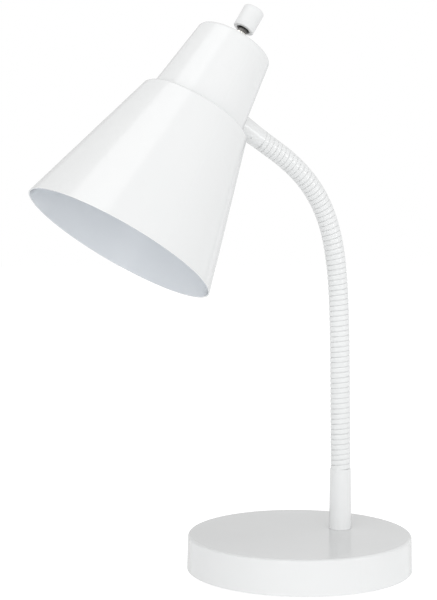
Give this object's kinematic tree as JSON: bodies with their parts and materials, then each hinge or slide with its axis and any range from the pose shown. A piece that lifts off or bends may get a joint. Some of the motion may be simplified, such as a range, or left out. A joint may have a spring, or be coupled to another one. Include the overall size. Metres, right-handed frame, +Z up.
{
  "type": "gooseneck desk lamp",
  "caption": "Desk lamp: weighted round base, ribbed bendable neck, conical metal shade with a stepped cap and a turn knob on top.",
  "frame": {"origin": "on the table under the middle of the round base", "axes": "+Z up, -Y to the front where the shade reaches, +X to the side; the neck lies in the YZ plane at rest"},
  "size_m": [0.15, 0.2609, 0.3706],
  "materials": {
    "white_paint": "gloss white paint",
    "cast_iron": "rough casting",
    "zinc_steel": "zinc plated",
    "soft_rubber": "matt white",
    "moulded_black": "satin",
    "shell_aluminium": "bright",
    "contact_brass": "bright",
    "nickel": "polished",
    "white_plastic": "gloss"
  },
  "bodies": {
    "base": {"base_shell": "white_paint", "base_weight": "cast_iron", "base_bottom_plate": "zinc_steel", "base_foot_pad": "soft_rubber", "base_plate_screws": "zinc_steel", "cord_gland": "soft_rubber", "base_threaded_pipe": "zinc_steel", "base_washer": "zinc_steel", "base_spring_washer": "zinc_steel", "base_nut": "zinc_steel", "neck_lower_ferrule": "white_paint", "neck_stub_lower": "white_paint"},
    "neck_01": {"neck_link_01": "white_paint"},
    "neck_02": {"neck_link_02": "white_paint"},
    "neck_03": {"neck_link_03": "white_paint"},
    "neck_04": {"neck_link_04": "white_paint"},
    "neck_05": {"neck_link_05": "white_paint"},
    "neck_06": {"neck_link_06": "white_paint"},
    "neck_07": {"neck_link_07": "white_paint"},
    "neck_08": {"neck_link_08": "white_paint"},
    "neck_09": {"neck_link_09": "white_paint"},
    "neck_10": {"neck_link_10": "white_paint"},
    "neck_11": {"neck_link_11": "white_paint"},
    "neck_12": {"neck_link_12": "white_paint"},
    "neck_13": {"neck_link_13": "white_paint"},
    "neck_14": {"neck_link_14": "white_paint"},
    "neck_15": {"neck_link_15": "white_paint"},
    "head": {"neck_stub_upper": "white_paint", "neck_upper_ferrule": "white_paint", "head_threaded_pipe": "zinc_steel", "head_saddle_washer": "zinc_steel", "head_nut": "zinc_steel", "shade_cone": "white_paint", "shade_cap": "white_paint", "lamp_holder": "moulded_black", "shade_ring": "moulded_black", "bulb_screw_shell": "shell_aluminium", "centre_contact": "contact_brass", "switch_housing": "moulded_black", "terminal_screws": "zinc_steel", "switch_blades": "contact_brass", "switch_bushing": "nickel", "switch_ring_nut": "nickel"},
    "knob": {"switch_knob": "white_plastic", "switch_shaft": "zinc_steel", "switch_rotor": "moulded_black"}
  },
  "joints": [
    {"name": "neck_lower_bend", "type": "hinge", "parent": "base", "child": "neck_01", "pos_m": [0, 0.03211, 0.0819], "axis": [1, 0, 0], "range_deg": [-7, 7]},
    {"name": "neck_lower_side_bend", "type": "hinge", "parent": "neck_01", "child": "neck_02", "pos_m": [0, 0.03195, 0.09582], "axis": [0, 0.9999, 0.0118], "range_deg": [-7, 7]},
    {"name": "neck_lower_bend_2", "type": "hinge", "parent": "neck_02", "child": "neck_03", "pos_m": [0, 0.03178, 0.10974], "axis": [1, 0, 0], "range_deg": [-7, 7]},
    {"name": "neck_lower_side_bend_2", "type": "hinge", "parent": "neck_03", "child": "neck_04", "pos_m": [0, 0.03158, 0.12366], "axis": [0, 0.9999, 0.015], "range_deg": [-7, 7]},
    {"name": "neck_lower_bend_3", "type": "hinge", "parent": "neck_04", "child": "neck_05", "pos_m": [0, 0.03135, 0.13757], "axis": [1, 0, 0], "range_deg": [-7, 7]},
    {"name": "neck_lower_side_bend_3", "type": "hinge", "parent": "neck_05", "child": "neck_06", "pos_m": [0, 0.03105, 0.15149], "axis": [0, 0.9997, 0.0254], "range_deg": [-7, 7]},
    {"name": "neck_lower_bend_4", "type": "hinge", "parent": "neck_06", "child": "neck_07", "pos_m": [0, 0.03062, 0.1654], "axis": [1, 0, 0], "range_deg": [-7, 7]},
    {"name": "neck_lower_side_bend_4", "type": "hinge", "parent": "neck_07", "child": "neck_08", "pos_m": [0, 0.02996, 0.17931], "axis": [0, 0.9983, 0.0589], "range_deg": [-7, 7]},
    {"name": "neck_upper_bend", "type": "hinge", "parent": "neck_08", "child": "neck_09", "pos_m": [0, 0.02891, 0.19319], "axis": [1, 0, 0], "range_deg": [-7, 7]},
    {"name": "neck_upper_side_bend", "type": "hinge", "parent": "neck_09", "child": "neck_10", "pos_m": [0, 0.02718, 0.207], "axis": [0, 0.9876, 0.1571], "range_deg": [-7, 7]},
    {"name": "neck_upper_bend_2", "type": "hinge", "parent": "neck_10", "child": "neck_11", "pos_m": [0, 0.02438, 0.22063], "axis": [1, 0, 0], "range_deg": [-7, 7]},
    {"name": "neck_upper_side_bend_2", "type": "hinge", "parent": "neck_11", "child": "neck_12", "pos_m": [0, 0.02003, 0.23384], "axis": [0, 0.9252, 0.3796], "range_deg": [-7, 7]},
    {"name": "neck_upper_bend_3", "type": "hinge", "parent": "neck_12", "child": "neck_13", "pos_m": [0, 0.01372, 0.24623], "axis": [1, 0, 0], "range_deg": [-7, 7]},
    {"name": "neck_upper_side_bend_3", "type": "hinge", "parent": "neck_13", "child": "neck_14", "pos_m": [0, 0.0054, 0.25736], "axis": [0, 0.747, 0.6648], "range_deg": [-7, 7]},
    {"name": "neck_upper_bend_4", "type": "hinge", "parent": "neck_14", "child": "neck_15", "pos_m": [0, -0.00462, 0.267], "axis": [1, 0, 0], "range_deg": [-7, 7]},
    {"name": "neck_upper_side_bend_4", "type": "hinge", "parent": "neck_15", "child": "head", "pos_m": [0, -0.01583, 0.27526], "axis": [0, 0.5499, 0.8352], "range_deg": [-7, 7]},
    {"name": "switch_knob_turn", "type": "hinge", "parent": "head", "child": "knob", "pos_m": [0, -0.04198, 0.35662], "axis": [0, 0.5438, 0.8392], "continuous": true}
  ],
  "couplings": [
    {"joint": "neck_lower_bend_2", "follows": "neck_lower_bend", "ratio": 1},
    {"joint": "neck_lower_side_bend_2", "follows": "neck_lower_side_bend", "ratio": 1},
    {"joint": "neck_lower_bend_3", "follows": "neck_lower_bend", "ratio": 1},
    {"joint": "neck_lower_side_bend_3", "follows": "neck_lower_side_bend", "ratio": 1},
    {"joint": "neck_lower_bend_4", "follows": "neck_lower_bend", "ratio": 1},
    {"joint": "neck_lower_side_bend_4", "follows": "neck_lower_side_bend", "ratio": 1},
    {"joint": "neck_upper_bend_2", "follows": "neck_upper_bend", "ratio": 1},
    {"joint": "neck_upper_side_bend_2", "follows": "neck_upper_side_bend", "ratio": 1},
    {"joint": "neck_upper_bend_3", "follows": "neck_upper_bend", "ratio": 1},
    {"joint": "neck_upper_side_bend_3", "follows": "neck_upper_side_bend", "ratio": 1},
    {"joint": "neck_upper_bend_4", "follows": "neck_upper_bend", "ratio": 1},
    {"joint": "neck_upper_side_bend_4", "follows": "neck_upper_side_bend", "ratio": 1}
  ]
}
